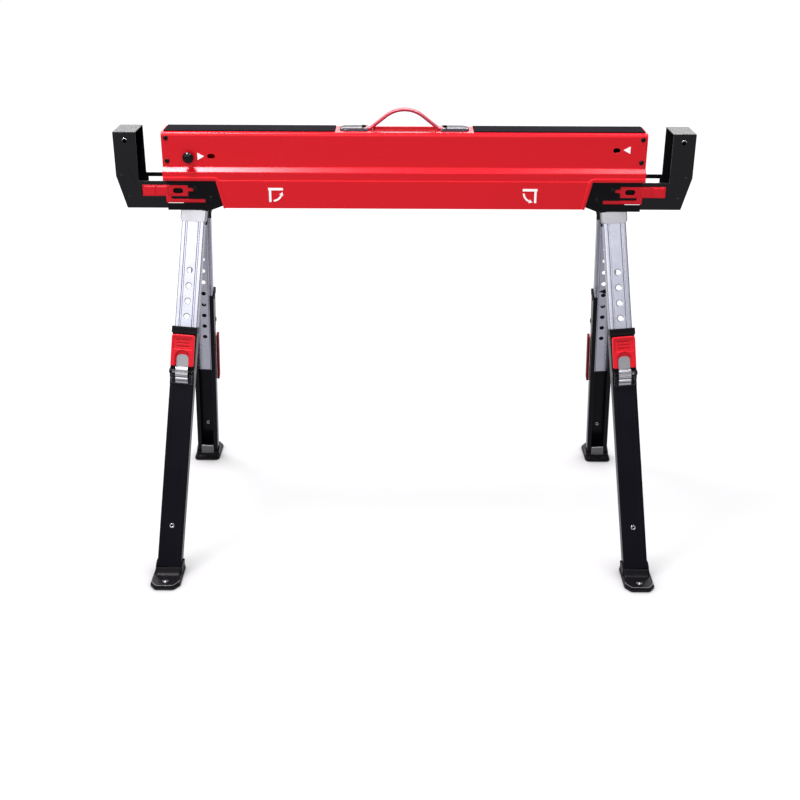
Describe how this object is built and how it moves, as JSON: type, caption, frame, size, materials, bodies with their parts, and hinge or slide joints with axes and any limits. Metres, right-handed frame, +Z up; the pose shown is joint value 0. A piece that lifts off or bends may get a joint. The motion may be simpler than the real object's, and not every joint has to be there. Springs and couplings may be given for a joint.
{
  "type": "folding builders trestle",
  "caption": "Folding builders trestle with a red folded-steel beam, sliding end arms, a carry strap and splayed legs that fold inwards and adjust in height by pull latches.",
  "frame": {"origin": "centre of the footprint, on the floor", "axes": "+X along the beam to its right-hand end, -Y to the front, +Z up"},
  "size_m": [1.09, 0.6462, 0.8574],
  "materials": {
    "red_paint": "gloss",
    "black_steel": "satin",
    "zinc": "satin",
    "grip_pad": "matte, grained",
    "strap": "semi-gloss",
    "cap_plastic": "satin",
    "red_plastic": "semi-gloss",
    "steel": "bright",
    "black_plastic": "semi-gloss"
  },
  "bodies": {
    "beam": {"beam_shell": "red_paint", "grip_pad_left": "grip_pad", "grip_pad_right": "grip_pad", "carry_strap": "strap", "strap_cap_left": "cap_plastic", "strap_cap_right": "cap_plastic", "end_plate_left": "black_steel", "end_plate_right": "black_steel", "beam_screws": "black_steel", "slide_guide_left": "black_steel", "slide_guide_right": "black_steel", "coupling_knobs": "black_plastic", "hinge_hanger_left": "black_steel", "hinge_hanger_right": "black_steel", "hinge_bolts": "steel"},
    "arm_left": {"arm_left": "black_steel"},
    "lock_left": {"arm_lock_left": "red_plastic"},
    "arm_right": {"arm_right": "black_steel"},
    "lock_right": {"arm_lock_right": "red_plastic"},
    "leg_fl": {"upper_leg_fl": "zinc", "leg_cap_fl": "zinc"},
    "shin_fl": {"lower_leg_fl": "black_steel", "latch_housing_fl": "black_plastic", "latch_axle_fl": "zinc", "latch_spring_fl": "steel", "foot_fl": "black_plastic", "foot_bolt_fl": "steel"},
    "latch_fl": {"latch_lever_fl": "zinc", "latch_grip_fl": "red_plastic"},
    "leg_fr": {"upper_leg_fr": "zinc", "leg_cap_fr": "zinc"},
    "shin_fr": {"lower_leg_fr": "black_steel", "latch_housing_fr": "black_plastic", "latch_axle_fr": "zinc", "latch_spring_fr": "steel", "foot_fr": "black_plastic", "foot_bolt_fr": "steel"},
    "latch_fr": {"latch_lever_fr": "zinc", "latch_grip_fr": "red_plastic"},
    "leg_rl": {"upper_leg_rl": "zinc", "leg_cap_rl": "zinc"},
    "shin_rl": {"lower_leg_rl": "black_steel", "latch_housing_rl": "black_plastic", "latch_axle_rl": "zinc", "latch_spring_rl": "steel", "foot_rl": "black_plastic", "foot_bolt_rl": "steel"},
    "latch_rl": {"latch_lever_rl": "zinc", "latch_grip_rl": "red_plastic"},
    "leg_rr": {"upper_leg_rr": "zinc", "leg_cap_rr": "zinc"},
    "shin_rr": {"lower_leg_rr": "black_steel", "latch_housing_rr": "black_plastic", "latch_axle_rr": "zinc", "latch_spring_rr": "steel", "foot_rr": "black_plastic", "foot_bolt_rr": "steel"},
    "latch_rr": {"latch_lever_rr": "zinc", "latch_grip_rr": "red_plastic"}
  },
  "joints": [
    {"name": "arm_left_slide", "type": "slide", "parent": "beam", "child": "arm_left", "axis": [-1, 0, 0], "range_m": [0, 0.078]},
    {"name": "lock_left_slide", "type": "slide", "parent": "arm_left", "child": "lock_left", "axis": [-1, 0, 0], "range_m": [0, 0.008]},
    {"name": "arm_right_slide", "type": "slide", "parent": "beam", "child": "arm_right", "axis": [1, 0, 0], "range_m": [0, 0.078]},
    {"name": "lock_right_slide", "type": "slide", "parent": "arm_right", "child": "lock_right", "axis": [1, 0, 0], "range_m": [0, 0.008]},
    {"name": "fold_fl", "type": "hinge", "parent": "beam", "child": "leg_fl", "pos_m": [-0.40224, -0.04393, 0.65805], "axis": [0, -0.9444, 0.3289], "range_deg": [0, 84]},
    {"name": "height_fl", "type": "slide", "parent": "leg_fl", "child": "shin_fl", "axis": [0.0785, 0.3279, 0.9415], "range_m": [-0.059, 0.1475]},
    {"name": "latch_fl", "type": "hinge", "parent": "shin_fl", "child": "latch_fl", "pos_m": [-0.42541, -0.14833, 0.38257], "axis": [0.9969, -0.0258, -0.0741], "range_deg": [-5, 9]},
    {"name": "fold_fr", "type": "hinge", "parent": "beam", "child": "leg_fr", "pos_m": [0.40224, -0.04393, 0.65805], "axis": [0, 0.9444, -0.3289], "range_deg": [0, 58]},
    {"name": "height_fr", "type": "slide", "parent": "leg_fr", "child": "shin_fr", "axis": [-0.0785, 0.3279, 0.9415], "range_m": [-0.059, 0.1475]},
    {"name": "latch_fr", "type": "hinge", "parent": "shin_fr", "child": "latch_fr", "pos_m": [0.42541, -0.14833, 0.38257], "axis": [0.9969, 0.0258, 0.0741], "range_deg": [-5, 9]},
    {"name": "fold_rl", "type": "hinge", "parent": "beam", "child": "leg_rl", "pos_m": [-0.40224, 0.04393, 0.65805], "axis": [0, -0.9444, -0.3289], "range_deg": [0, 84]},
    {"name": "height_rl", "type": "slide", "parent": "leg_rl", "child": "shin_rl", "axis": [0.0785, -0.3279, 0.9415], "range_m": [-0.059, 0.1475]},
    {"name": "latch_rl", "type": "hinge", "parent": "shin_rl", "child": "latch_rl", "pos_m": [-0.42541, 0.14833, 0.38257], "axis": [-0.9969, -0.0258, 0.0741], "range_deg": [-5, 9]},
    {"name": "fold_rr", "type": "hinge", "parent": "beam", "child": "leg_rr", "pos_m": [0.40224, 0.04393, 0.65805], "axis": [0, 0.9444, 0.3289], "range_deg": [0, 58]},
    {"name": "height_rr", "type": "slide", "parent": "leg_rr", "child": "shin_rr", "axis": [-0.0785, -0.3279, 0.9415], "range_m": [-0.059, 0.1475]},
    {"name": "latch_rr", "type": "hinge", "parent": "shin_rr", "child": "latch_rr", "pos_m": [0.42541, 0.14833, 0.38257], "axis": [-0.9969, 0.0258, -0.0741], "range_deg": [-5, 9]}
  ]
}
